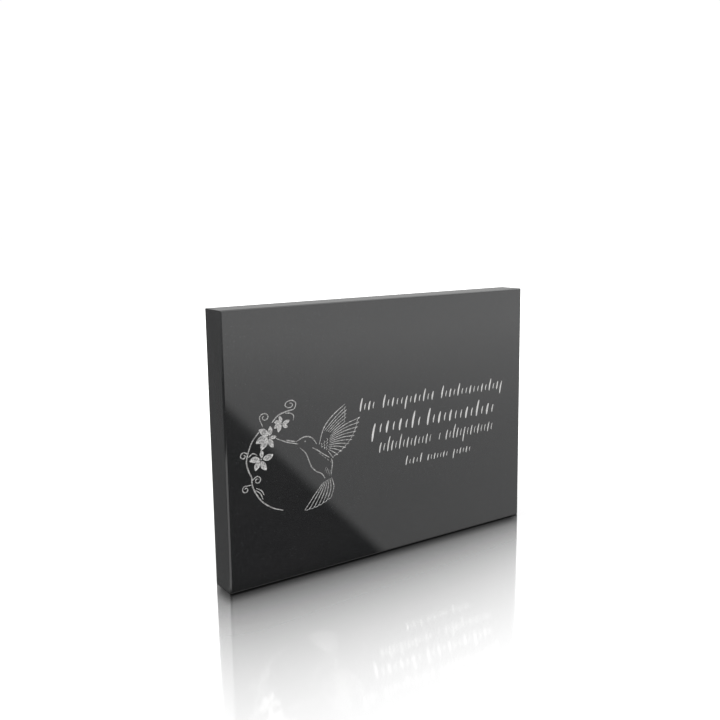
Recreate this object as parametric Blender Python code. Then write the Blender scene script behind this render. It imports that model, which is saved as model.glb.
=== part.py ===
"""A small flat headstone: one slab of polished black granite with a carved face.

It stands on its long lower edge, which is how it is shown and how it rests. The arris round its
face is a flat chamfer and the others are barely eased. The face is cut with a hummingbird at a
spray of blossoms and with four rows of slanted strokes where the wording goes. The back is plain.

Metres, +Z up. The carved face looks along -Y, and the origin is the middle of the underside.
"""

import math

import bpy
from mathutils import Vector

# The stone
SLAB_WIDTH = 0.3556
SLAB_HEIGHT = 0.2540
SLAB_THICKNESS = 0.0300
FACE_ARRIS = 0.0016
FINE_ARRIS = 0.0004

# The carving. Every cut is a V as deep as half its width, but the petals are cut shallower.
CUT_LIFT = 0.00012
PETAL_DEPTH_SHARE = 0.36
POINTS_PER_BEND = 3

# The picture: its height, and its place from the stone's left side and underside
PICTURE_HEIGHT = 0.1100
PICTURE_FROM_LEFT = 0.0125
PICTURE_FROM_BOTTOM = 0.0600
STEM_WIDTH = 0.0015
TENDRIL_WIDTH = 0.0011
BODY_LINE_WIDTH = 0.0012
EYE_WIDTH = 0.0022
FEATHER_WIDTH = 0.0009
SCALLOP_WIDTH = 0.0008

# The wording: the middle of its rows from the stone's right side, and the lean of its strokes
WORDING_FROM_RIGHT = 0.1188
STROKE_LEAN = math.radians(13)

GRANITE = (0.018, 0.018, 0.020, 1.0)
GRANITE_ROUGHNESS = 0.12

# One row of strokes each: the height of its baseline over the underside, the height of a short
# stroke, the width of a stroke, and its words as (middle from the row's middle, length, marks)
ROWS = {
    "first_row": (
        0.1474, 0.0088, 0.0019,
        (
            (-0.0870, 0.0200, "|./."),
            (-0.0365, 0.0670, "|./..\\./.|./"),
            (0.0480, 0.0880, "|./.|../../.|./\\"),
        ),
    ),
    "second_row": (
        0.1220, 0.0118, 0.0025,
        (
            (-0.0515, 0.0640, "\\././.|."),
            (0.0325, 0.0960, "|././../.|./."),
        ),
    ),
    "third_row": (
        0.1030, 0.0102, 0.0016,
        (
            (-0.0405, 0.0680, "/.|/.|././../."),
            (0.0035, 0.0050, "."),
            (0.0445, 0.0680, "/.|/.\\././../."),
        ),
    ),
    "fourth_row": (
        0.0848, 0.0066, 0.0015,
        (
            (-0.0303, 0.0230, "|./.|"),
            (0.0012, 0.0290, "/./../."),
            (0.0342, 0.0260, "\\././."),
        ),
    ),
}

# Each mark of a word as (its foot and its head in short strokes, share of the stroke's width)
MARKS = {"|": (0.0, 1.45, 1.0), "/": (0.0, 1.0, 1.0), "\\": (-0.55, 0.95, 1.0), ".": (0.12, 0.84, 0.62)}

# Lines of the picture, in hundredths of its height, from its lower left corner
STEM = (
    (39, 6.3), (29.5, 10.2), (20.5, 16.8), (14.8, 24.5), (11.2, 32.5), (10.8, 39.5),
    (8.2, 45.5), (6.6, 53), (8.6, 61), (12.8, 69.6), (19.8, 77),
)
RUNNER = ((30.8, 82), (36.5, 87.2), (43.5, 89.4), (51.6, 90.5))
SHOOTS = {
    "twig": ((13.8, 28.4), (18.2, 24.8), (20.6, 19.2)),
    "twig_edge": ((14.8, 29.8), (19.4, 26.9), (21.8, 22.6)),
    "stalk": ((8.4, 56.4), (12.6, 59.2), (16.8, 57)),
    "side_loop": ((43.5, 88.2), (48.6, 87.5), (51.3, 85), (50.6, 81.2)),
}
BODY_LINES = {
    "crown": ((53, 62.5), (57, 64.4), (61.5, 65.7), (66.5, 64.8), (70, 62), (73, 57.5)),
    "breast": ((56.5, 57), (62, 51.5), (64.8, 45), (67.5, 38.5), (72, 34), (77.5, 30.8), (80.6, 26.2)),
    "back": ((68.5, 55.2), (73.5, 52.2), (79.5, 47.8), (85.5, 43.8)),
    "rump": ((87.2, 42.8), (88.4, 38.5), (87.6, 33), (86.6, 27.6)),
    "far_wing_edge": ((75.6, 56.8), (78.4, 66), (82.4, 73.2), (90.4, 80.6), (102.6, 88.4)),
    "upper_bill": ((43.5, 65.6), (48, 64.2), (52.6, 62.9)),
    "lower_bill": ((34.4, 68.3), (44, 63.9), (55.2, 60.4)),
}
EYE = (60.4, 61.6)
EYE_LENGTH = 2.6

# Tendrils as (middle, radius, height share, angle of the outer end in degrees, turns, feeding point)
TENDRILS = {
    "crown_tendril": ((47.9, 94.8), 6.4, 0.68, -40, 1.40, (51.6, 90.5)),
    "upper_tendril": ((24.2, 87.4), 4.6, 0.86, 190, -1.25, (22.4, 80)),
    "left_tendril": ((4.2, 58.3), 3.6, 0.95, 20, 1.15, (7.8, 56.6)),
    "inner_tendril": ((16.0, 36.3), 3.7, 1.0, 150, -1.30, (11.2, 36.8)),
    "lower_tendril": ((5.2, 30.4), 3.6, 0.95, 60, 1.25, (10.9, 33.4)),
}
TENDRIL_CLOSING = 0.72
TENDRIL_POINTS_PER_TURN = 6

# Blossoms as (middle, petals), and a petal as (its angle in degrees, its length)
BLOSSOMS = {
    "low_blossom": ((20, 53.2), ((80, 6.8), (172, 9.4), (229, 9.2), (287, 9.5), (4, 10))),
    "middle_blossom": ((28, 70.5), ((76, 8), (134, 10.4), (188, 11.2), (224, 11), (283, 8.6), (348, 6))),
    "high_blossom": ((40, 80.2), ((6, 6.6), (104, 6), (158, 6.6), (197, 7), (235, 6.9), (317, 6))),
}
PETAL_WIDTH_SHARE = 0.56

# A petal's stations as (reach from the blossom's middle, sway to the side, share of its width)
PETAL_PROFILE = ((0.14, 0.0, 0.30), (0.46, 0.0, 0.94), (0.80, 0.05, 0.80), (1.12, 0.16, 0.10))

# Fans of feathers as (count, first root, last root, first tip, middle tip, last tip, bows)
FANS = {
    "far_wing": (5, (80.8, 67.8), (88.0, 64.8), (103.6, 86.2), (104.2, 80), (102.4, 73.2), (0.8, 0.2)),
    "near_wing": (11, (86.5, 62.5), (84, 50), (117.6, 74.5), (114.5, 53.5), (89.5, 42.5), (1.6, 0.0)),
    "tail": (7, (79.4, 23.4), (87.2, 26), (59.8, 2), (74, 1.6), (86.8, 9), (-0.4, 2.5)),
}

# Rows of small scallops over the roots of the near wing, as (first end, last end)
SCALLOP_BOW = 1.1
SCALLOP_SPACING = 2.4
SCALLOP_ROWS = {
    "shoulder_row": ((77.2, 57.6), (77.6, 53.2)),
    "middle_row": ((80.2, 59.4), (80.0, 51.8)),
    "outer_row": ((83.2, 61.2), (82.2, 50.6)),
}


def clear_scene():
    for thing in list(bpy.data.objects):
        bpy.data.objects.remove(thing)


def granite():
    material = bpy.data.materials.new("polished_black_granite")
    material.use_nodes = True
    shader = material.node_tree.nodes["Principled BSDF"]
    shader.inputs["Base Color"].default_value = GRANITE
    shader.inputs["Roughness"].default_value = GRANITE_ROUGHNESS
    shader.inputs["Metallic"].default_value = 0.0
    return material


def slab():
    """The sawn and polished block with its arrises eased, standing on z = 0."""
    bpy.ops.mesh.primitive_cube_add(size=1)
    stone = bpy.context.object
    stone.name = stone.data.name = "headstone"
    for corner in stone.data.vertices:
        corner.co.x *= SLAB_WIDTH
        corner.co.y *= SLAB_THICKNESS
        corner.co.z = (corner.co.z + 0.5) * SLAB_HEIGHT
    easing = stone.data.attributes.new("bevel_weight_edge", "FLOAT", "EDGE")
    for edge in stone.data.edges:
        round_face = all(stone.data.vertices[end].co.y < 0 for end in edge.vertices)
        easing.data[edge.index].value = 1.0 if round_face else FINE_ARRIS / FACE_ARRIS
    eased = stone.modifiers.new("arrises", "BEVEL")
    eased.limit_method = "WEIGHT"
    eased.width = FACE_ARRIS
    eased.segments = 1
    stone.data.materials.append(granite())
    return stone


def picture_place(point):
    """A point of the picture, in hundredths of its height, on the face in metres."""
    left = PICTURE_FROM_LEFT - SLAB_WIDTH / 2
    unit = PICTURE_HEIGHT / 100
    return Vector((left + point[0] * unit, PICTURE_FROM_BOTTOM + point[1] * unit))


def taper(count, start, end):
    """Width shares of a stroke that is full in its middle and narrows to the given ends."""
    shares = []
    for step in range(count):
        along = step / (count - 1)
        swell = math.sin(math.pi * along) ** 0.5
        shares.append(swell + (1 - swell) * (start * (1 - along) + end * along))
    return shares


def bent(start, end, bow):
    """Three points from start to end whose middle stands off to the left by bow."""
    start, end = Vector(start), Vector(end)
    along = (end - start).normalized()
    return [start, (start + end) / 2 + bow * Vector((-along.y, along.x)), end]


def cut_curve(name, strokes):
    """The strokes as diamond-section tubes lying flat. Each is (points, width, width shares)."""
    curve = bpy.data.curves.new(name, "CURVE")
    curve.dimensions = "3D"
    curve.twist_mode = "Z_UP"
    curve.resolution_u = POINTS_PER_BEND
    curve.bevel_depth = 1.0
    curve.bevel_resolution = 0
    curve.use_fill_caps = True
    for points, width, shares in strokes:
        spline = curve.splines.new("BEZIER")
        spline.bezier_points.add(len(points) - 1)
        for knot, point, share in zip(spline.bezier_points, points, shares):
            knot.co = (point[0], point[1], 0)
            knot.radius = share * (width / 2 + CUT_LIFT)
            knot.handle_left_type = knot.handle_right_type = "AUTO"
    return curve


def carve(stone, name, strokes, depth_share=1.0):
    """Cuts strokes that lie clear of one another. Those that cross are cut one after the other.

    The exact solver loses the stone at some sizes where a stroke runs out on an earlier cut.
    """
    tubes = bpy.data.objects.new(name, cut_curve(name, strokes))
    bpy.context.scene.collection.objects.link(tubes)
    bpy.context.view_layer.update()
    graph = bpy.context.evaluated_depsgraph_get()
    mesh = bpy.data.meshes.new_from_object(tubes.evaluated_get(graph))
    bpy.data.objects.remove(tubes)
    for point in mesh.vertices:
        across, up, out = point.co
        point.co = (across, -SLAB_THICKNESS / 2 - CUT_LIFT - out * depth_share, up)
    tool = bpy.data.objects.new(name, mesh)
    bpy.context.scene.collection.objects.link(tool)
    tool.hide_render = True
    tool.display_type = "WIRE"
    weld = tool.modifiers.new("close the caps", "WELD")
    weld.merge_threshold = 0.000005
    cut = stone.modifiers.new("carve " + name, "BOOLEAN")
    cut.operation = "DIFFERENCE"
    cut.solver = "MANIFOLD"
    cut.object = tool


def line_stroke(route, width, start=0.3, end=0.3):
    points = [picture_place(point) for point in route]
    return points, width, taper(len(points), start, end)


def tendril(middle, radius, height_share, start, turns, feed):
    """From where the stem feeds it, round into a spiral that tightens as it goes."""
    steps = math.ceil(abs(turns) * TENDRIL_POINTS_PER_TURN)
    route = [Vector(feed)]
    for step in range(steps + 1):
        along = step / steps
        angle = math.radians(start) + along * turns * 2 * math.pi
        reach = radius * (1 - TENDRIL_CLOSING * along)
        route.append(Vector(middle) + reach * Vector((math.cos(angle), height_share * math.sin(angle))))
    return route


def petal(middle, angle, length):
    """A leaf-shaped hollow that leaves a blossom's middle and bends to one side at its tip."""
    out = Vector((math.cos(math.radians(angle)), math.sin(math.radians(angle))))
    side = Vector((-out.y, out.x))
    points = []
    for reach, sway, _ in PETAL_PROFILE:
        points.append(picture_place(Vector(middle) + length * (reach * out + sway * side)))
    width = PETAL_WIDTH_SHARE * length * PICTURE_HEIGHT / 100
    return points, width, [share for _, _, share in PETAL_PROFILE]


def carve_spray(stone):
    """The stem and its runner, their shoots and tendrils, and the blossoms on them."""
    carve(stone, "stem", [line_stroke(STEM, STEM_WIDTH, 0.3, 0.6)])
    carve(stone, "runner", [line_stroke(RUNNER, STEM_WIDTH, 0.3, 0.6)])
    for name, route in SHOOTS.items():
        carve(stone, name, [line_stroke(route, TENDRIL_WIDTH, 0.5, 0.3)])
    for name, numbers in TENDRILS.items():
        carve(stone, name, [line_stroke(tendril(*numbers), TENDRIL_WIDTH, 0.6, 0.5)])
    for name, (middle, petals) in BLOSSOMS.items():
        for angle, length in petals:
            carve(stone, name, [petal(middle, angle, length)], PETAL_DEPTH_SHARE)


def fan(count, first_root, last_root, first_tip, middle_tip, last_tip, bows):
    """Feathers side by side: roots on a straight line, tips on a bend through three points."""
    feathers = []
    for number in range(count):
        along = number / (count - 1)
        root = Vector(first_root).lerp(Vector(last_root), along)
        early = Vector(first_tip).lerp(Vector(middle_tip), along)
        late = Vector(middle_tip).lerp(Vector(last_tip), along)
        bow = bows[0] * (1 - along) + bows[1] * along
        feathers.append(bent(root, early.lerp(late, along), bow))
    return feathers


def scallops(first, last):
    """A row of short bows side by side, with a little stone left between them."""
    bows = []
    count = max(1, round((Vector(last) - Vector(first)).length / SCALLOP_SPACING))
    for number in range(count):
        start = Vector(first).lerp(Vector(last), (number + 0.08) / count)
        end = Vector(first).lerp(Vector(last), (number + 0.92) / count)
        bows.append(bent(start, end, SCALLOP_BOW))
    return bows


def carve_bird(stone):
    """The hummingbird in outline, with its feathers as fans of long cuts."""
    for name, route in BODY_LINES.items():
        carve(stone, name, [line_stroke(route, BODY_LINE_WIDTH)])
    eye_end = (EYE[0] + EYE_LENGTH, EYE[1])
    carve(stone, "eye", [line_stroke(bent(EYE, eye_end, 0), EYE_WIDTH)])
    for name, numbers in FANS.items():
        carve(stone, name, [line_stroke(feather, FEATHER_WIDTH, 0.35, 0.35) for feather in fan(*numbers)])
    for name, numbers in SCALLOP_ROWS.items():
        carve(stone, name, [line_stroke(bow, SCALLOP_WIDTH, 0.5, 0.5) for bow in scallops(*numbers)])


def carve_wording(stone):
    """Rows of slanted strokes, word by word, in the place of an inscription."""
    middle = SLAB_WIDTH / 2 - WORDING_FROM_RIGHT
    for name, (baseline, height, width, words) in ROWS.items():
        strokes = []
        for word_middle, length, marks in words:
            for number, mark in enumerate(marks):
                foot, head, share = MARKS[mark]
                across = middle + word_middle + length * ((number + 0.5) / len(marks) - 0.5)
                points = []
                for point in bent((0, foot * height), (0, head * height), 0.04 * height):
                    points.append((across + point.x + point.y * math.tan(STROKE_LEAN), baseline + point.y))
                strokes.append((points, width * share, (0.4, 1.0, 0.4)))
        carve(stone, name, strokes)


clear_scene()
headstone = slab()
carve_spray(headstone)
carve_bird(headstone)
carve_wording(headstone)
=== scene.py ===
# %% [markdown]
# # A small headstone of polished black granite
#
# The stone is one slab, standing on its long lower edge. Its face carries a hummingbird at a spray
# of blossoms, and rows of slanted strokes where the wording goes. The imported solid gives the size
# and the place of everything. This script makes the same stone again with rounder, finer cuts, and
# gives it the look of polished granite with frosted carving.

# %% The frame
import math

import bmesh
import bpy
from mathutils import Matrix, Vector


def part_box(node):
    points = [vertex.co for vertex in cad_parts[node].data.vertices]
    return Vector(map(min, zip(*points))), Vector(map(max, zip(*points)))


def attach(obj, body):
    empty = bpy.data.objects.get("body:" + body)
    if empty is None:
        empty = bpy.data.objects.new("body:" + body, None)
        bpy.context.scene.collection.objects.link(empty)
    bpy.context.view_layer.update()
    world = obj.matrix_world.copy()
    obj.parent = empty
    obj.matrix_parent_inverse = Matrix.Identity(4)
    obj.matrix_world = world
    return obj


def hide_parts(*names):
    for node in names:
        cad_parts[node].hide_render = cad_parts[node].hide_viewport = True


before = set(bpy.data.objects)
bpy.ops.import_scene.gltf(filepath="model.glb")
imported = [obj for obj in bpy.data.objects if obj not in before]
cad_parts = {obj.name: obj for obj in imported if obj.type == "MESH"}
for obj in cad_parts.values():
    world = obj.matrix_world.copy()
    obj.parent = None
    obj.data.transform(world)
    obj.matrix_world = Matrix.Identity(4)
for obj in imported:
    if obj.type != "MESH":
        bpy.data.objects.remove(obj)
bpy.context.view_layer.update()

low, high = (Vector(corner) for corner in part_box("headstone"))
WIDTH, THICKNESS, HEIGHT = high - low
FACE = low.y
print("the stone is", [round(size * 1000, 1) for size in (WIDTH, THICKNESS, HEIGHT)], "mm")

# %% [markdown]
# ## The camera
#
# The photograph looks at the carved face from the left and a little from above. The camera stands
# where the slab's own corners line up with the photograph's. Its place is given in metres from the
# middle of the foot of the face. A constraint could aim it at the stone, but a photograph is seldom
# quite level, so it is turned by three angles instead: round to the right, down, and a slight roll.

# %% Camera
CAMERA_PLACE = Vector((-0.4865, -0.6565 + FACE, 0.3237))
CAMERA_HEADING = math.radians(34.528)
CAMERA_DIP = math.radians(9.016)
CAMERA_ROLL = math.radians(-0.810)
LENS = 42.52
SENSOR_WIDTH = 36

lens = bpy.data.cameras.new("camera")
lens.lens = LENS
lens.sensor_width = SENSOR_WIDTH
camera = bpy.data.objects.new("camera", lens)
bpy.context.scene.collection.objects.link(camera)
turn = Matrix.Rotation(-CAMERA_HEADING, 4, "Z") @ Matrix.Rotation(math.pi / 2 - CAMERA_DIP, 4, "X")
camera.matrix_world = Matrix.Translation(CAMERA_PLACE) @ turn @ Matrix.Rotation(CAMERA_ROLL, 4, "Z")
bpy.context.scene.camera = camera
print("the camera is", round((CAMERA_PLACE - (low + high) / 2).length, 3), "m from the stone's middle")

# %% [markdown]
# ## The slab
#
# A mason saws the slab, polishes it, and then eases the arris round the face with a flat narrow
# chamfer, so that it doesn't chip. A Bevel modifier would treat all twelve edges alike, and here the
# four round the face differ from the others, so the block is shaped with operators. It starts as a
# cube whose front is set back by the chamfer, and insetting that front with a depth of the same size
# raises the face and leaves the chamfer round it. Every edge is then bevelled by a fraction of a
# millimetre, because the polishing pad rounds them. That hair of roundness catches the light.

# %% Slab
FACE_ARRIS = 0.0016
PAD_ROUNDING = 0.0004
ROUNDING_SEGMENTS = 2


def piece(name, mesh):
    """A bmesh as an object of the scene, at the origin."""
    data = bpy.data.meshes.new(name)
    mesh.to_mesh(data)
    mesh.free()
    made = bpy.data.objects.new(name, data)
    bpy.context.scene.collection.objects.link(made)
    return made


def slab_mesh():
    """The uncarved slab, filling the solid's box."""
    mesh = bmesh.new()
    bmesh.ops.create_cube(mesh, size=1)
    block_low = low + Vector((0, FACE_ARRIS, 0))
    bmesh.ops.scale(mesh, vec=high - block_low, verts=mesh.verts)
    bmesh.ops.translate(mesh, vec=(block_low + high) / 2, verts=mesh.verts)
    front = min(mesh.faces, key=lambda face: face.calc_center_median().y)
    bmesh.ops.inset_region(mesh, faces=[front], thickness=FACE_ARRIS, depth=FACE_ARRIS)
    rounding = {"offset": PAD_ROUNDING, "segments": ROUNDING_SEGMENTS, "profile": 0.5}
    bmesh.ops.bevel(mesh, geom=mesh.edges[:], affect="EDGES", material=-1, **rounding)
    return mesh


stone = piece("granite_headstone", slab_mesh())
print("the slab has", len(stone.data.polygons), "faces")

# %% [markdown]
# ## How a line is cut
#
# A carved line is a round-bottomed groove that swells in its middle and runs out at its ends. A
# texture could only paint it, with no hollow to catch the light, so it is cut out of the mesh with a
# Boolean modifier. The tool for one line is a tube that lies half in the face: a ring is made once and
# extruded from station to station along a smooth route, and each new ring is turned, widened and
# moved to its station. The route passes through a few given points, and the stations between
# them come from a Catmull-Rom curve, which goes through its points.

# %% Routes
STATION_SPACING = 0.0011
SWELL_POWER = 0.5


def smooth_route(points, spacing=STATION_SPACING):
    """Stations along a smooth curve through the points, as (place, share of the way) pairs."""
    points = [Vector(point) for point in points]
    padded = [2 * points[0] - points[1], *points, 2 * points[-1] - points[-2]]
    stations = []
    for number in range(len(points) - 1):
        before, start, end, after = padded[number : number + 4]
        steps = max(2, round((end - start).length / spacing))
        for step in range(steps):
            t = step / steps
            place = 0.5 * (
                2 * start
                + (end - before) * t
                + (2 * before - 5 * start + 4 * end - after) * t**2
                + (3 * start - before - 3 * end + after) * t**3
            )
            stations.append((place, (number + t) / (len(points) - 1)))
    stations.append((points[-1], 1.0))
    return stations


def swelling(start, end):
    """Width shares along a stroke: full in its middle, narrowed to the given shares at its ends."""

    def share(along):
        swell = math.sin(math.pi * min(max(along, 0.0), 1.0)) ** SWELL_POWER
        return swell + (1 - swell) * (start * (1 - along) + end * along)

    return share


print("a route has a station about every", STATION_SPACING * 1000, "mm")

# %% The cutting tube
RING_SIDES = 10
LINE_DEPTH = 0.55


def tube(route, width, share, depth=LINE_DEPTH):
    """A closed tube along the stations, half of it in the face, whose depth is a share of its width."""
    mesh = bmesh.new()
    ring = bmesh.ops.create_circle(mesh, segments=RING_SIDES, radius=1.0)["verts"]
    edges = mesh.edges[:]
    before = Matrix()
    for number, (place, along) in enumerate(route):
        behind = route[max(number - 1, 0)][0]
        ahead = route[min(number + 1, len(route) - 1)][0]
        heading = (ahead - behind).normalized()
        across = Vector((-heading.y, 0, heading.x)) * width / 2 * share(along)
        inward = Vector((0, width * share(along) * depth, 0))
        forward = Vector((heading.x, 0, heading.y))
        station = Matrix((across, inward, forward)).transposed().to_4x4()
        station.translation = (place.x, FACE, place.y)
        if number:
            grown = bmesh.ops.extrude_edge_only(mesh, edges=edges)["geom"]
            ring = [part for part in grown if isinstance(part, bmesh.types.BMVert)]
            edges = [part for part in grown if isinstance(part, bmesh.types.BMEdge)]
            edges = [edge for edge in edges if edge.verts[0] in ring and edge.verts[1] in ring]
        bmesh.ops.transform(mesh, matrix=station @ before.inverted(), verts=ring)
        before = station
    bmesh.ops.holes_fill(mesh, edges=[edge for edge in mesh.edges if edge.is_boundary], sides=0)
    bmesh.ops.recalc_face_normals(mesh, faces=mesh.faces)
    return mesh


def carve(name, tubes):
    """Cuts tubes that lie clear of one another out of the stone, in one go."""
    tool_mesh = bmesh.new()
    for cutter in tubes:
        data = bpy.data.meshes.new("tube")
        cutter.to_mesh(data)
        cutter.free()
        tool_mesh.from_mesh(data)
        bpy.data.meshes.remove(data)
    tool = piece(name, tool_mesh)
    cut = stone.modifiers.new(name, "BOOLEAN")
    cut.operation = "DIFFERENCE"
    cut.solver = "MANIFOLD"
    cut.object = tool
    bpy.context.view_layer.update()
    graph = bpy.context.evaluated_depsgraph_get()
    carved = bpy.data.meshes.new_from_object(stone.evaluated_get(graph))
    stone.modifiers.remove(cut)
    blank = stone.data
    stone.data = carved
    bpy.data.meshes.remove(blank)
    bpy.data.objects.remove(tool)


print("a cutting tube has", RING_SIDES, "sides")

# %% [markdown]
# ## The picture's own measure
#
# The picture is drawn in hundredths of its height from its lower left corner. It could be drawn in
# metres too, but in its own measure it is easier to read, and it can be made larger or moved with one
# number. One function puts a point of the picture on the face in metres.

# %% The picture's place
PICTURE_HEIGHT = 0.1100
PICTURE_FROM_LEFT = 0.0125
PICTURE_FROM_BOTTOM = 0.0600
UNIT = PICTURE_HEIGHT / 100


def on_face(point):
    """A point of the picture in metres, across the stone and up it."""
    return Vector((low.x + PICTURE_FROM_LEFT + point[0] * UNIT, PICTURE_FROM_BOTTOM + point[1] * UNIT))


def line(points, width, start=0.3, end=0.3, depth=LINE_DEPTH):
    """A cutting tube through points of the picture, narrowed to the shares start and end."""
    return tube(smooth_route([on_face(point) for point in points]), width, swelling(start, end), depth)


print("the picture is", round(PICTURE_HEIGHT * 1000), "mm high")

# %% [markdown]
# ## The spray
#
# A stem climbs the left side of the picture in a crescent, and a runner carries on from it over the
# top. Tendrils curl off both. Points set by eye would make them lumpy, so each is a spiral that
# tightens as it goes, worked out from a middle, a radius and a number of turns. The solver needs a
# tool whose parts don't cross, so lines that touch are cut one after the other.

# %% Stem and shoots
STEM_WIDTH = 0.0015
TENDRIL_WIDTH = 0.0011
STEM = (
    (39, 6.3), (29.5, 10.2), (20.5, 16.8), (14.8, 24.5), (11.2, 32.5), (10.8, 39.5),
    (8.2, 45.5), (6.6, 53), (8.6, 61), (12.8, 69.6), (19.8, 77),
)
RUNNER = ((30.8, 82), (36.5, 87.2), (43.5, 89.4), (51.6, 90.5))
SHOOTS = {
    "twig": ((13.8, 28.4), (18.2, 24.8), (20.6, 19.2)),
    "twig_edge": ((14.8, 29.8), (19.4, 26.9), (21.8, 22.6)),
    "stalk": ((8.4, 56.4), (12.6, 59.2), (16.8, 57)),
    "side_loop": ((43.5, 88.2), (48.6, 87.5), (51.3, 85), (50.6, 81.2)),
}

carve("stem", [line(STEM, STEM_WIDTH, start=0.3, end=0.6)])
carve("runner", [line(RUNNER, STEM_WIDTH, start=0.3, end=0.6)])
for name, route in SHOOTS.items():
    carve(name, [line(route, TENDRIL_WIDTH, start=0.5, end=0.3)])
print("with its stem, the stone has", len(stone.data.polygons), "faces")

# %% Tendrils
# For each: its middle, radius and height share, the angle it starts at in degrees, its turns, and
# the point of the stem or runner that it leaves from.
TENDRILS = {
    "crown_tendril": ((47.9, 94.8), 6.4, 0.68, -40, 1.40, (51.6, 90.5)),
    "upper_tendril": ((24.2, 87.4), 4.6, 0.86, 190, -1.25, (22.4, 80)),
    "left_tendril": ((4.2, 58.3), 3.6, 0.95, 20, 1.15, (7.8, 56.6)),
    "inner_tendril": ((16.0, 36.3), 3.7, 1.0, 150, -1.30, (11.2, 36.8)),
    "lower_tendril": ((5.2, 30.4), 3.6, 0.95, 60, 1.25, (10.9, 33.4)),
}
TENDRIL_CLOSING = 0.72
POINTS_PER_TURN = 6


def tendril(middle, radius, height_share, start, turns, leaves_from):
    """From where it leaves the stem, round into a spiral that tightens as it goes."""
    steps = math.ceil(abs(turns) * POINTS_PER_TURN)
    route = [leaves_from]
    for step in range(steps + 1):
        along = step / steps
        angle = math.radians(start) + along * turns * math.tau
        reach = radius * (1 - TENDRIL_CLOSING * along)
        up = height_share * math.sin(angle)
        route.append((middle[0] + reach * math.cos(angle), middle[1] + reach * up))
    return route


for name, numbers in TENDRILS.items():
    carve(name, [line(tendril(*numbers), TENDRIL_WIDTH, start=0.6, end=0.5)])
print(len(TENDRILS), "tendrils")

# %% [markdown]
# ## The blossoms
#
# Each blossom has leaf-shaped petals round a small bead, and each petal has its own angle and length,
# because the blossoms are seen from different sides. One petal copied round in a ring would look like
# a stamp. A petal is a wide, shallow hollow whose width swells from the heart, is full near its half,
# and runs out to a point that bends to one side. The same tube cuts it, with another outline. A fine
# vein is cut a little deeper along its middle. The petals touch, so they are cut one after the other.

# %% Blossoms
# For each: its middle, and an angle in degrees and a length for each of its petals.
BLOSSOMS = {
    "low_blossom": ((20, 53.2), ((80, 6.8), (172, 9.4), (229, 9.2), (287, 9.5), (4, 10))),
    "middle_blossom": ((28, 70.5), ((76, 8), (134, 10.4), (188, 11.2), (224, 11), (283, 8.6), (348, 6))),
    "high_blossom": ((40, 80.2), ((6, 6.6), (104, 6), (158, 6.6), (197, 7), (235, 6.9), (317, 6))),
}
PETAL_WIDTH = 0.56
PETAL_DEPTH = 0.16
PETAL_HEART = 0.10
PETAL_POWER = 0.9
PETAL_SPACING = 0.0007
# How far out each point of a petal's middle line is, and how far to its side, in petal lengths.
PETAL_STATIONS = ((0.14, 0.0), (0.46, 0.0), (0.80, 0.05), (1.12, 0.16))
VEIN_WIDTH = 0.0007
VEIN_DEPTH = 1.6
VEIN_STARTS = 0.4
BEAD_WIDTH = 0.0015
BEAD_STEPS = 8


def petal_share(along):
    """A petal's half outline: narrow at the heart, full near its half, pointed at the tip."""
    return PETAL_HEART + (1 - PETAL_HEART) * math.sin(math.pi * min(along, 1.0)) ** PETAL_POWER


def petal_route(middle, angle, length):
    """The points of a petal's middle line, on the face in metres."""
    out = Vector((math.cos(math.radians(angle)), math.sin(math.radians(angle))))
    side = Vector((-out.y, out.x))
    line_points = [reach * out + sway * side for reach, sway in PETAL_STATIONS]
    return [on_face(Vector(middle) + length * point) for point in line_points]


for name, (middle, petals) in BLOSSOMS.items():
    veins = []
    for angle, length in petals:
        route = petal_route(middle, angle, length)
        width = PETAL_WIDTH * length * UNIT
        carve(name, [tube(smooth_route(route, PETAL_SPACING), width, petal_share, PETAL_DEPTH)])
        vein = [route[0].lerp(route[1], VEIN_STARTS), route[1], route[2]]
        veins.append(tube(smooth_route(vein), VEIN_WIDTH, swelling(start=0.4, end=0.2), VEIN_DEPTH))
    carve(name + "_veins", veins)
    half_bead = Vector((BEAD_WIDTH / 2, 0))
    bead = [on_face(middle) - half_bead, on_face(middle), on_face(middle) + half_bead]
    bead_route = smooth_route(bead, BEAD_WIDTH / BEAD_STEPS)
    carve(name + "_bead", [tube(bead_route, BEAD_WIDTH, swelling(start=0.2, end=0.2))])
print("with its blossoms, the stone has", len(stone.data.polygons), "faces")

# %% [markdown]
# ## The hummingbird
#
# The bird hovers with its bill at the middle blossom. Its body is drawn in outline, with a few lines
# of its own. Twenty-three feathers would be slow to set one by one and would never lie evenly, so
# each wing and the tail is a fan: feathers side by side whose roots lie on a straight line and whose
# tips lie on a bend. Rows of small scallops cover the roots of the near wing, and a few faint hairs
# shade the back.

# %% Body
BODY_LINE_WIDTH = 0.0012
EYE_WIDTH = 0.0022
EYE_DEPTH = 0.03
BODY_LINES = {
    "crown": ((53, 62.5), (57, 64.4), (61.5, 65.7), (66.5, 64.8), (70, 62), (73, 57.5)),
    "breast": ((56.5, 57), (62, 51.5), (64.8, 45), (67.5, 38.5), (72, 34), (77.5, 30.8), (80.6, 26.2)),
    "back": ((68.5, 55.2), (73.5, 52.2), (79.5, 47.8), (85.5, 43.8)),
    "rump": ((87.2, 42.8), (88.4, 38.5), (87.6, 33), (86.6, 27.6)),
    "far_wing_edge": ((75.6, 56.8), (78.4, 66), (82.4, 73.2), (90.4, 80.6), (102.6, 88.4)),
    "upper_bill": ((43.5, 65.6), (48, 64.2), (52.6, 62.9)),
    "lower_bill": ((34.4, 68.3), (44, 63.9), (55.2, 60.4)),
}
EYE = ((60.4, 61.6), (61.7, 61.7), (63.0, 61.6))

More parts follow.
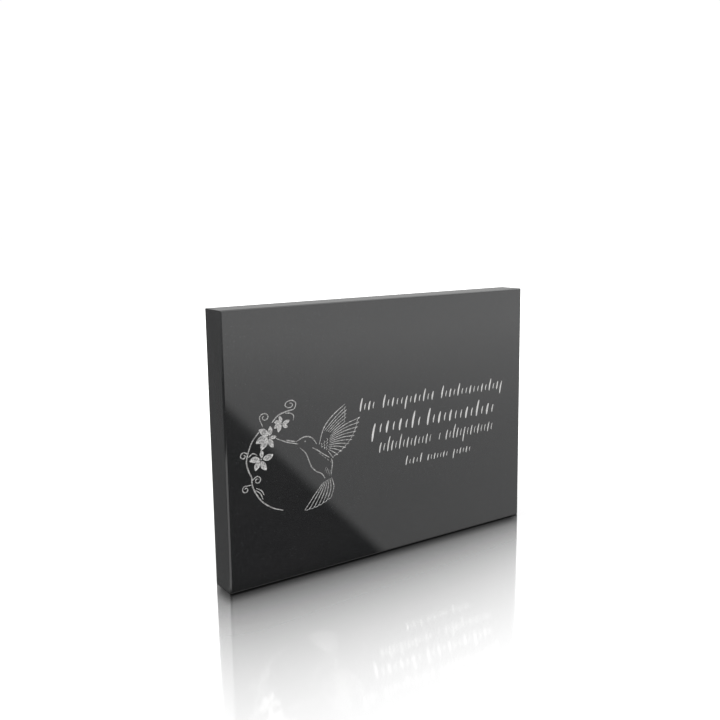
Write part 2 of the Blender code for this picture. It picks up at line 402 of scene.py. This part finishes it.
for name, route in BODY_LINES.items():
    carve(name, [line(route, BODY_LINE_WIDTH)])
carve("eye", [line(EYE, EYE_WIDTH, depth=EYE_DEPTH)])
print("the bird has", len(BODY_LINES), "body lines")

# %% Feathers
FEATHER_WIDTH = 0.0009
TIP_WIDTH = 0.0007
TIP_BACK = 0.86
TIP_BOW = -1.1
# For each: its feathers, the first and last root, the first, middle and last tip, and the bow of the
# first and last feather.
FANS = {
    "far_wing": (5, (80.8, 67.8), (88.0, 64.8), (103.6, 86.2), (104.2, 80), (102.4, 73.2), 0.8, 0.2),
    "near_wing": (11, (86.5, 62.5), (84, 50), (117.6, 74.5), (114.5, 53.5), (89.5, 42.5), 1.6, 0.0),
    "tail": (7, (79.4, 23.4), (87.2, 26), (59.8, 2), (74, 1.6), (86.8, 9), -0.4, 2.5),
}


def bent(start, end, bow):
    """Three points from start to end whose middle stands off to the left by bow."""
    start, end = Vector(start), Vector(end)
    along = (end - start).normalized()
    return [start, (start + end) / 2 + bow * Vector((-along.y, along.x)), end]


def fan(count, first_root, last_root, first_tip, middle_tip, last_tip, first_bow, last_bow):
    """The three points of each feather, from the first to the last."""
    feathers = []
    for number in range(count):
        along = number / (count - 1)
        root = Vector(first_root).lerp(Vector(last_root), along)
        early = Vector(first_tip).lerp(Vector(middle_tip), along)
        late = Vector(middle_tip).lerp(Vector(last_tip), along)
        bow = first_bow * (1 - along) + last_bow * along
        feathers.append(bent(root, early.lerp(late, along), bow))
    return feathers


def feather_tips(feathers):
    """Short bowed lines that close each feather's tip against the next feather."""
    tips = []
    for feather, neighbour in zip(feathers, feathers[1:]):
        landing = neighbour[1].lerp(neighbour[2], TIP_BACK)
        tips.append(line(bent(feather[2], landing, TIP_BOW), TIP_WIDTH, start=0.5, end=0.4))
    return tips


for name, numbers in FANS.items():
    feathers = fan(*numbers)
    carve(name, [line(feather, FEATHER_WIDTH, start=0.35, end=0.6) for feather in feathers])
    carve(name + "_tips", feather_tips(feathers))
print("with its bird, the stone has", len(stone.data.polygons), "faces")

# %% Scallops and hairs
SCALLOP_WIDTH = 0.0008
SCALLOP_BOW = 1.1
SCALLOP_SPACING = 2.4
SCALLOP_GAP = 0.08
# For each: the row's two ends.
SCALLOP_ROWS = {
    "shoulder_row": ((77.2, 57.6), (77.6, 53.2)),
    "middle_row": ((80.2, 59.4), (80.0, 51.8)),
    "outer_row": ((83.2, 61.2), (82.2, 50.6)),
}
HAIR_WIDTH = 0.0005
HAIR_DEPTH = 0.20
HAIR_BOW = 0.3
# For each: its hairs, the first and last root, and the first and last tip.
HAIRS = {
    "back_hairs": (5, (74.5, 49.5), (85.5, 41.2), (77.5, 47.4), (87.2, 38.4)),
    "rump_hairs": (4, (80.5, 31.5), (85.2, 27.2), (82.5, 36.5), (86.4, 33.2)),
}


def scallops(first, last):
    """A row of short bows side by side, with a little stone left between them."""
    bows = []
    count = max(1, round((Vector(last) - Vector(first)).length / SCALLOP_SPACING))
    for number in range(count):
        start = Vector(first).lerp(Vector(last), (number + SCALLOP_GAP) / count)
        end = Vector(first).lerp(Vector(last), (number + 1 - SCALLOP_GAP) / count)
        bows.append(line(bent(start, end, SCALLOP_BOW), SCALLOP_WIDTH, start=0.5, end=0.5))
    return bows


def hairs(count, first_root, last_root, first_tip, last_tip):
    """A patch of faint strokes side by side."""
    strokes = []
    for number in range(count):
        along = number / (count - 1)
        root = Vector(first_root).lerp(Vector(last_root), along)
        tip = Vector(first_tip).lerp(Vector(last_tip), along)
        strokes.append(line(bent(root, tip, HAIR_BOW), HAIR_WIDTH, start=0.4, end=0.2, depth=HAIR_DEPTH))
    return strokes


for name, numbers in SCALLOP_ROWS.items():
    carve(name, scallops(*numbers))
for name, numbers in HAIRS.items():
    carve(name, hairs(*numbers))
print(len(SCALLOP_ROWS), "rows of scallops and", len(HAIRS), "patches of hairs")

# %% [markdown]
# ## The wording
#
# Where the wording goes there are four rows of slanted strokes. A text object would give letters, and
# this stone says nothing, so the strokes are set out as wording is and spell nothing: in words of
# different lengths, with tall strokes, short ones, thin ones, and some that reach below the line. A
# word is written as a string of marks, one for each stroke.

# %% Wording
WORDING_FROM_RIGHT = 0.1188
STROKE_LEAN = math.radians(13)
STROKE_BOW = 0.04
STROKE_ENDS = 0.35
# For each mark: its foot and head in row heights, and its share of the row's stroke width.
MARKS = {"|": (0.0, 1.45, 1.0), "/": (0.0, 1.0, 1.0), "\\": (-0.55, 0.95, 1.0), ".": (0.12, 0.84, 0.62)}
# For each row: its baseline, height and stroke width, and its words. For each word: how far its
# middle lies from the row's middle, its length and its marks.
ROWS = {
    "first_row": (
        0.1474, 0.0088, 0.0019,
        (
            (-0.0870, 0.0200, "|./."),
            (-0.0365, 0.0670, "|./..\\./.|./"),
            (0.0480, 0.0880, "|./.|../../.|./\\"),
        ),
    ),
    "second_row": (
        0.1220, 0.0118, 0.0025,
        ((-0.0515, 0.0640, "\\././.|."), (0.0325, 0.0960, "|././../.|./.")),
    ),
    "third_row": (
        0.1030, 0.0102, 0.0016,
        ((-0.0405, 0.0680, "/.|/.|././../."), (0.0035, 0.0050, "."), (0.0445, 0.0680, "/.|/.\\././../.")),
    ),
    "fourth_row": (
        0.0848, 0.0066, 0.0015,
        ((-0.0303, 0.0230, "|./.|"), (0.0012, 0.0290, "/./../."), (0.0342, 0.0260, "\\././.")),
    ),
}


def row_tubes(baseline, height, width, words):
    """The cutting tubes of a row, one for each mark of its words."""
    tubes = []
    middle = high.x - WORDING_FROM_RIGHT
    for word_middle, length, marks in words:
        for number, mark in enumerate(marks):
            foot, head, share = MARKS[mark]
            across = middle + word_middle + length * ((number + 0.5) / len(marks) - 0.5)
            points = []
            for point in bent((0, foot * height), (0, head * height), STROKE_BOW * height):
                points.append((across + point.x + point.y * math.tan(STROKE_LEAN), baseline + point.y))
            tubes.append(tube(smooth_route(points), width * share, swelling(STROKE_ENDS, STROKE_ENDS)))
    return tubes


for name, numbers in ROWS.items():
    carve(name, row_tubes(*numbers))
print("with its wording, the stone has", len(stone.data.polygons), "faces")

# %% [markdown]
# ## Shader maths
#
# A finish is a small network of nodes. Adding and linking each node by hand takes five lines for one
# sum. So one class wraps an output of a node, and sums and products of patterns can be written as
# ordinary Python, and one method of the other class adds any other node.

# %% Shader helpers
class Wire:
    """An output of a node that can be added to, multiplied and compared."""

    def __init__(self, finish, socket):
        self.finish = finish
        self.socket = socket

    def maths(self, operation, first, second=0.0):
        return self.finish.node("ShaderNodeMath", {0: first, 1: second}, operation=operation)

    def __add__(self, other):
        return self.maths("ADD", self, other)

    def __sub__(self, other):
        return self.maths("SUBTRACT", self, other)

    def __rsub__(self, other):
        return self.maths("SUBTRACT", other, self)

    def __mul__(self, other):
        return self.maths("MULTIPLY", self, other)

    def __truediv__(self, other):
        return self.maths("DIVIDE", self, other)

    def __rtruediv__(self, other):
        return self.maths("DIVIDE", other, self)

    def __abs__(self):
        return self.maths("ABSOLUTE", self)

    __radd__ = __add__
    __rmul__ = __mul__

    def larger(self, other):
        return self.maths("MAXIMUM", self, other)

    def root(self):
        return self.maths("SQRT", self)

    def step(self, start, end):
        """0 below start, 1 above end, and smooth between them."""
        span = {"Value": self, "From Min": start, "From Max": end, "To Min": 0.0, "To Max": 1.0}
        return self.finish.node("ShaderNodeMapRange", span, interpolation_type="SMOOTHSTEP")


class Finish:
    """A node tree that is being filled in."""

    def __init__(self, tree):
        self.tree = tree

    def node(self, kind, inputs=None, output=0, **settings):
        made = self.tree.nodes.new(kind)
        for name, value in settings.items():
            setattr(made, name, value)
        for key, value in (inputs or {}).items():
            if isinstance(value, Wire):
                self.tree.links.new(value.socket, made.inputs[key])
            else:
                made.inputs[key].default_value = value
        return Wire(self, made.outputs[output])

    def place(self, output=None):
        """The point on the piece, in metres, or one of its three parts."""
        point = self.node("ShaderNodeTexCoord", output="Object")
        if output is None:
            return point
        return self.node("ShaderNodeSeparateXYZ", {0: point}, output=output)

    def noise(self, scale, detail, roughness):
        sockets = {"Vector": self.place(), "Scale": scale, "Detail": detail, "Roughness": roughness}
        return self.node("ShaderNodeTexNoise", sockets)

    def colour(self, mask, first, second):
        """The first colour where the mask is 0, and the second where it is 1."""
        return self.node("ShaderNodeMix", {0: mask, 6: first, 7: second}, output=2, data_type="RGBA")


def grey(value, warmth=0.0):
    """A grey whose red is raised and whose blue is lowered by the warmth."""
    return (value * (1 + warmth), value, value * (1 - warmth), 1.0)


# %% [markdown]
# ## Granite, polished, frosted and sawn
#
# Black granite polishes to a dark mirror in which only the finest crystals still show. Where it is
# cut, the broken crystals scatter the light, and the stone turns pale grey. The back and the
# underside aren't polished, only sawn and rubbed, so they are a dull dark grey with faint lines from
# the saw. Three materials could be given to three sets of faces, but it is all one stone, so one
# material has the three finishes and masks choose between them: how deep a point lies behind the face
# says where it is carved, and how far back or how low it lies says where the saw left it. The
# patterns are noise at the size of real crystals, so they hold when the camera comes close.

# %% Where the stone is cut and sawn
CUT_FROM, CUT_TO = 0.00003, 0.00010
CARVED_LIMIT = 0.0035
MASK_SOFTNESS = 0.0003


def cut_mask(across, up, behind_face):
    """1 in the carving, which lies a little behind the face and inside its chamfer."""
    margin = 2 * FACE_ARRIS
    inside_sides = 1 - abs(across).step(high.x - margin, high.x - margin + MASK_SOFTNESS)
    inside_top = 1 - up.step(high.z - margin, high.z - margin + MASK_SOFTNESS)
    above_foot = up.step(margin, margin + MASK_SOFTNESS)
    near_face = 1 - behind_face.step(CARVED_LIMIT, CARVED_LIMIT + MASK_SOFTNESS)
    return behind_face.step(CUT_FROM, CUT_TO) * inside_sides * inside_top * above_foot * near_face


def sawn_mask(inward, up):
    """1 on the back and on the underside."""
    sawn_back = inward.step(high.y - 2 * MASK_SOFTNESS, high.y - MASK_SOFTNESS / 2)
    return sawn_back.larger(1 - up.step(MASK_SOFTNESS / 2, 2 * MASK_SOFTNESS))


print("what lies", CUT_TO * 1000, "mm behind the face is frosted")

# %% Polished
FLECKS = 420.0
FLECK_SIZE = (0.10, 0.22)
GLINTS = (0.50, 0.62)
GLINT_SHARE = 0.75
CLOUD_SHARE = 0.35
CRYSTAL_RANGE, CLOUD_RANGE = (0.35, 0.75), (0.35, 0.80)
POLISHED_GREYS = grey(0.0085, -0.04), grey(0.018, -0.03)
GLINT_GREY = grey(0.065, -0.05)
CLOUD_GREY = grey(0.016)


def polished_colour(look, crystals, clouds):
    """Nearly black, with fine crystals, a few that glint, and faint clouds."""
    flecks = look.node("ShaderNodeTexVoronoi", {"Vector": look.place(), "Scale": FLECKS})
    glint = (1 - flecks.step(*FLECK_SIZE)) * crystals.step(*GLINTS)
    colour = look.colour(crystals.step(*CRYSTAL_RANGE), *POLISHED_GREYS)
    colour = look.colour(glint * GLINT_SHARE, colour, GLINT_GREY)
    return look.colour(clouds.step(*CLOUD_RANGE) * CLOUD_SHARE, colour, CLOUD_GREY)


print("flecks are about", round(1000 / FLECKS, 1), "mm apart")

# %% Frosted
ETCH_STREAKS = 620.0
STREAK_RANGE, BLAST_RANGE = (0.36, 0.66), (0.30, 0.72)
# Below these depths the etching turns darker: painted shade in the hollows.
HOLLOW_SHADE_DEPTHS = (0.0004, 0.0009)
WORDING_STARTS = -0.0378
ETCHED_GREYS = grey(0.20, 0.01), grey(0.50, 0.01)
# The darker greys of the deeper hollows are painted shade.
HOLLOW_SHADE_GREYS = grey(0.10, 0.01), grey(0.34, 0.01)
BLASTED_GREYS = grey(0.46, 0.01), grey(0.64, 0.01)


def frosted_colour(look, across, behind_face, crystals):
    """The picture is etched and streaky, with painted shade that darkens its deeper hollows, and the
    wording is blasted pale.
    """
    streaks = look.noise(ETCH_STREAKS, detail=2.0, roughness=0.6).step(*STREAK_RANGE)
    etched, hollow_shade = look.colour(streaks, *ETCHED_GREYS), look.colour(streaks, *HOLLOW_SHADE_GREYS)
    # Where the cut lies deeper, the etched grey gives way to the darker one, as painted shade.
    etched = look.colour(behind_face.step(*HOLLOW_SHADE_DEPTHS), etched, hollow_shade)
    blasted = look.colour(crystals.step(*BLAST_RANGE), *BLASTED_GREYS)
    return look.colour(across.step(WORDING_STARTS, WORDING_STARTS + MASK_SOFTNESS), etched, blasted)


print("the wording starts", round((WORDING_STARTS - low.x) * 1000, 1), "mm from the left side")

# %% Sawn and rubbed
SAW_LINES = {"Scale": 90.0, "Distortion": 1.4, "Detail": 2.0, "Detail Scale": 0.6}
SAW_LINE_SHARE = 0.25
RUBBED_RANGE = (0.30, 0.75)
RUBBED_GREYS = grey(0.022), grey(0.055)
SAW_LINE_GREY = grey(0.065)


def saw_marks(look):
    """Level bands that the saw left, 0 to 1."""
    bands = {"Vector": look.place(), **SAW_LINES}
    return look.node("ShaderNodeTexWave", bands, output="Fac", wave_type="BANDS", bands_direction="Z")


def rubbed_colour(look, crystals, saw_lines):
    rubbed = look.colour(crystals.step(*RUBBED_RANGE), *RUBBED_GREYS)
    return look.colour(saw_lines * SAW_LINE_SHARE, rubbed, SAW_LINE_GREY)


print("the sawn stone is up to", round(RUBBED_GREYS[1][1] / POLISHED_GREYS[1][1], 1), "times as pale")

# %% Granite
CRYSTALS, CLOUDS = 1500.0, 26.0
GRANITE_IOR = 1.58
POLISHED_ROUGHNESS, CLOUD_ROUGHNESS = 0.045, 0.03
SAWN_ROUGHNESS, CUT_ROUGHNESS = 0.42, 0.60
CUT_GRAIN, SAWN_GRAIN, SAW_LINE_HEIGHT = 0.00012, 0.00005, 0.00004
GRAIN_STRENGTH = 0.6


def granite():
    material = bpy.data.materials.new("polished_black_granite")
    material.use_nodes = True
    tree = material.node_tree
    shader = tree.nodes["Principled BSDF"]
    look = Finish(tree)
    across, inward, up = look.place("X"), look.place("Y"), look.place("Z")
    behind_face = inward - FACE
    cut, sawn = cut_mask(across, up, behind_face), sawn_mask(inward, up)
    crystals = look.noise(CRYSTALS, detail=3.0, roughness=0.65)
    clouds = look.noise(CLOUDS, detail=3.0, roughness=0.5)
    saw_lines = saw_marks(look)

    polished, rubbed = polished_colour(look, crystals, clouds), rubbed_colour(look, crystals, saw_lines)
    frosted = frosted_colour(look, across, behind_face, crystals)
    colour = look.colour(cut, look.colour(sawn, polished, rubbed), frosted)
    roughness = POLISHED_ROUGHNESS + clouds * CLOUD_ROUGHNESS + sawn * SAWN_ROUGHNESS + cut * CUT_ROUGHNESS
    tree.links.new(colour.socket, shader.inputs["Base Color"])
    tree.links.new(roughness.socket, shader.inputs["Roughness"])
    shader.inputs["IOR"].default_value = GRANITE_IOR

    grain = crystals * (cut * CUT_GRAIN + sawn * SAWN_GRAIN) + saw_lines * sawn * SAW_LINE_HEIGHT
    bump = look.node("ShaderNodeBump", {"Height": grain, "Strength": GRAIN_STRENGTH, "Distance": 1.0})
    tree.links.new(bump.socket, shader.inputs["Normal"])
    return material


stone.data.materials.clear()
stone.data.materials.append(granite())
print("the granite has", len(stone.data.materials[0].node_tree.nodes), "nodes")

# %% [markdown]
# ## Shading the cuts
#
# The grooves are round, so their walls are shaded smooth, but the rims where they meet the face stay
# crisp, and for that edges are marked sharp by their angle. Smooth shading alone would bend the
# reflection on the large flat faces, where they meet the narrow roundings. So each face that is
# square to the stone, or at 45 degrees as the chamfer is, stays flat shaded and mirrors the room
# straight. The finished stone then rides on the stone's body and stands for its plain solid.

# %% Smooth shading
SHARP_ANGLE = math.radians(32)
FLAT_TILT = 0.0002
CHAMFER_NORMAL = math.sqrt(0.5)

stone.data.set_sharp_from_angle(angle=SHARP_ANGLE)
flat_faces = 0
for face in stone.data.polygons:
    steepest = max(abs(part) for part in face.normal)
    flat = steepest > 1 - FLAT_TILT or abs(steepest - CHAMFER_NORMAL) < FLAT_TILT
    face.use_smooth = not flat
    flat_faces += flat
print(flat_faces, "of", len(stone.data.polygons), "faces are flat")
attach(stone, "root")
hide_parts("headstone")

# %% [markdown]
# ## Floor and light
#
# The stone stands on a glossy pale floor in a white room. Polished black stone shows little of its
# own colour: what is seen in it is the room. A real room could be built round it, but then each wall
# would also light the floor. So the floor has two looks. The camera sees a white floor that mirrors
# the stone, strongly at its foot and less further out, with a short dark shadow along the foot of
# its face and its left side. The stone mirrors a floor that glows by a drawn pattern: a dark patch in
# front, which the lower left of the face mirrors, a floor beside it that grows brighter towards the
# front and the right and fades to the horizon's own light, a lit pool at the left, which the chamfer
# down the left edge mirrors, and a dark line of painted shade where stone and floor meet.

# %% The floor that the camera sees
MIRROR_HALF_WAY = 0.21
MIRROR_FADE = 0.20
GLOSS_ROUGHNESS = 0.07
FLOOR_WHITE = 0.92
FLOOR_GLOW = 0.30
SHADOW_FALL = (0.567, 0.824)
SHADOW_REACH = 0.026
SHADOW_LEVEL = 0.30
SHADOW_RIM = (-0.014, -0.002)


def shadow_mask(x, y):
    """1 beside the stone's foot, to the front and the left, and 0 where the shadow has run out."""
    fall_x, fall_y = SHADOW_FALL
    reach = ((low.x - x) / fall_x).larger((FACE - y) / fall_y).larger(0.0)
    past_stone = (x + reach * fall_x - high.x).larger(y + reach * fall_y - high.y)
    return (1 - reach.step(0.0, SHADOW_REACH)) * (1 - past_stone.step(*SHADOW_RIM))


def seen_floor(look, x, y, away):
    half_way = MIRROR_HALF_WAY - (x - low.x) * MIRROR_FADE
    mirror = 1 / (1 + away / half_way)
    gloss = look.node("ShaderNodeBsdfGlossy", {"Color": grey(1.0), "Roughness": GLOSS_ROUGHNESS})
    matt = look.node("ShaderNodeBsdfDiffuse", {"Color": grey(FLOOR_WHITE)})
    glow = look.node("ShaderNodeEmission", {"Color": grey(1.0), "Strength": FLOOR_GLOW})
    white = look.node("ShaderNodeAddShader", {0: matt, 1: glow})
    floor_shine = look.node("ShaderNodeMixShader", {0: mirror, 1: white, 2: gloss})
    black = look.node("ShaderNodeBsdfDiffuse", {"Color": grey(0.0)})
    shade = shadow_mask(x, y) * (1 - SHADOW_LEVEL)
    return look.node("ShaderNodeMixShader", {0: shade, 1: floor_shine, 2: black})


print("the shadow is", SHADOW_REACH * 1000, "mm long")

# %% The floor that the stone mirrors
# The ranges are in metres: forward from the face, or across from the stone's middle.
DARK_EDGE = ((-0.010, 0.0), (0.155, -0.664))
EDGE_SOFTNESS, EDGE_SPREAD = 0.010, 0.007
NEAR_LEVEL, FAR_LEVEL, BRIGHT_BY = 0.80, 1.25, 1.6
RIGHT_LIFT, RIGHT_RANGE = 0.23, (-0.1, 0.9)
HORIZON_LIGHT, HORIZON_RANGE = 0.42, (3.0, 14.0)
DARK_LEVEL, BEHIND_LEVEL, BEHIND_SOFTNESS = 0.06, 0.17, 0.02
POOL_REACH, POOL_LEVEL, POOL_SOFTNESS, POOL_EDGE = 0.52, 1.35, 0.08, 0.01
# The dark line of painted shade where the mirrored floor meets the stone: how far it reaches and how
# bright it glows.
CONTACT_SHADE_REACH, CONTACT_SHADE_LEVEL = 0.003, 0.20


def lit_floor(x, forward):
    """How bright the floor is to the right of the dark patch, and 0 in the patch."""
    (near_x, near_y), (far_x, far_y) = DARK_EDGE
    lean = (far_x - near_x) / (far_y - near_y)
    right_of_edge = x + forward * lean - near_x
    lit = (right_of_edge / (EDGE_SOFTNESS + abs(forward) * EDGE_SPREAD)).step(-1.0, 1.0)
    level = NEAR_LEVEL + forward.step(0.0, BRIGHT_BY) * (FAR_LEVEL - NEAR_LEVEL)
    level = level * (1 + x.step(*RIGHT_RANGE) * RIGHT_LIFT)
    return lit * (level - forward.step(*HORIZON_RANGE) * (FAR_LEVEL * (1 + RIGHT_LIFT) - HORIZON_LIGHT))


def lit_pool(look, x):
    """The light round the stone's front left corner, on the left of it only."""
    here_and_corner = {0: look.place(), 1: Vector((low.x, FACE, 0.0))}
    from_corner = look.node("ShaderNodeVectorMath", here_and_corner, output="Value", operation="DISTANCE")
    near_corner = 1 - from_corner.step(POOL_REACH - POOL_SOFTNESS, POOL_REACH + POOL_SOFTNESS)
    return near_corner * (low.x - x).step(0.0, POOL_EDGE) * POOL_LEVEL


def mirrored_floor(look, x, y, away):
    forward = FACE - y
    behind = 1 - forward.step(-BEHIND_SOFTNESS, 0.0)
    in_front = lit_floor(x, forward) + lit_pool(look, x)
    strength = in_front * (1 - behind) + behind * BEHIND_LEVEL + DARK_LEVEL
    # Close to the foot the glow dims to a painted contact shade.
    clear = away.step(0.0, CONTACT_SHADE_REACH)
    strength = strength * clear + (1 - clear) * CONTACT_SHADE_LEVEL
    return look.node("ShaderNodeEmission", {"Color": grey(1.0), "Strength": strength})


print("the stone mirrors light of", NEAR_LEVEL, "near its foot and", FAR_LEVEL, "further out")

# %% Floor
FLOOR_REACH = 30.0


def floor_look():
    material = bpy.data.materials.new("white_floor")
    material.use_nodes = True
    tree = material.node_tree
    tree.nodes.remove(tree.nodes["Principled BSDF"])
    look = Finish(tree)
    x, y = look.place("X"), look.place("Y")
    past_side, past_face = (abs(x) - high.x).larger(0.0), (abs(y) - high.y).larger(0.0)
    away = (past_side * past_side + past_face * past_face).root()
    looks = {1: seen_floor(look, x, y, away), 2: mirrored_floor(look, x, y, away)}
    glossy_ray = look.node("ShaderNodeLightPath", output="Is Glossy Ray")
    shade = look.node("ShaderNodeMixShader", {0: glossy_ray, **looks})
    tree.links.new(shade.socket, tree.nodes["Material Output"].inputs["Surface"])
    return material


floor_mesh = bmesh.new()
bmesh.ops.create_grid(floor_mesh, x_segments=1, y_segments=1, size=FLOOR_REACH)
floor = piece("floor", floor_mesh)
floor.data.materials.append(floor_look())
print("the floor is", 2 * FLOOR_REACH, "m across")

# %% Light
CEILING_LIGHT = 1.9
CEILING_FROM = 0.8
BACKDROP_LIGHT = 1.02
WINDOW_WIDTH, WINDOW_DEPTH = 1.6, 1.2
WINDOW_PLACE = (-0.9, -1.1, 1.9)
WINDOW_TILT = math.radians(38)
WINDOW_POWER = 9.0


def room_light():
    """A white room: dim at the horizon, bright overhead, and plain white to the camera."""
    world = bpy.data.worlds.new("white_room")
    world.use_nodes = True
    tree = world.node_tree
    look = Finish(tree)
    direction = look.node("ShaderNodeTexCoord", output="Generated")
    up = look.node("ShaderNodeSeparateXYZ", {0: direction}, output="Z")
    strength = HORIZON_LIGHT + up.step(0.0, CEILING_FROM) * (CEILING_LIGHT - HORIZON_LIGHT)
    camera_ray = look.node("ShaderNodeLightPath", output="Is Camera Ray")
    strength = strength + camera_ray * (BACKDROP_LIGHT - strength)
    tree.links.new(strength.socket, tree.nodes["Background"].inputs["Strength"])
    tree.nodes["Background"].inputs["Color"].default_value = grey(1.0)
    return world


bpy.context.scene.world = room_light()
window = bpy.data.lights.new("soft_window", "AREA")
window.shape = "RECTANGLE"
window.size, window.size_y = WINDOW_WIDTH, WINDOW_DEPTH
window.energy = WINDOW_POWER
window_light = bpy.data.objects.new("soft_window", window)
window_light.matrix_world = Matrix.Translation(WINDOW_PLACE) @ Matrix.Rotation(WINDOW_TILT, 4, "X")
bpy.context.scene.collection.objects.link(window_light)
bpy.context.scene.view_settings.view_transform = "Standard"
print("the room is", HORIZON_LIGHT, "at the horizon and", CEILING_LIGHT, "overhead")
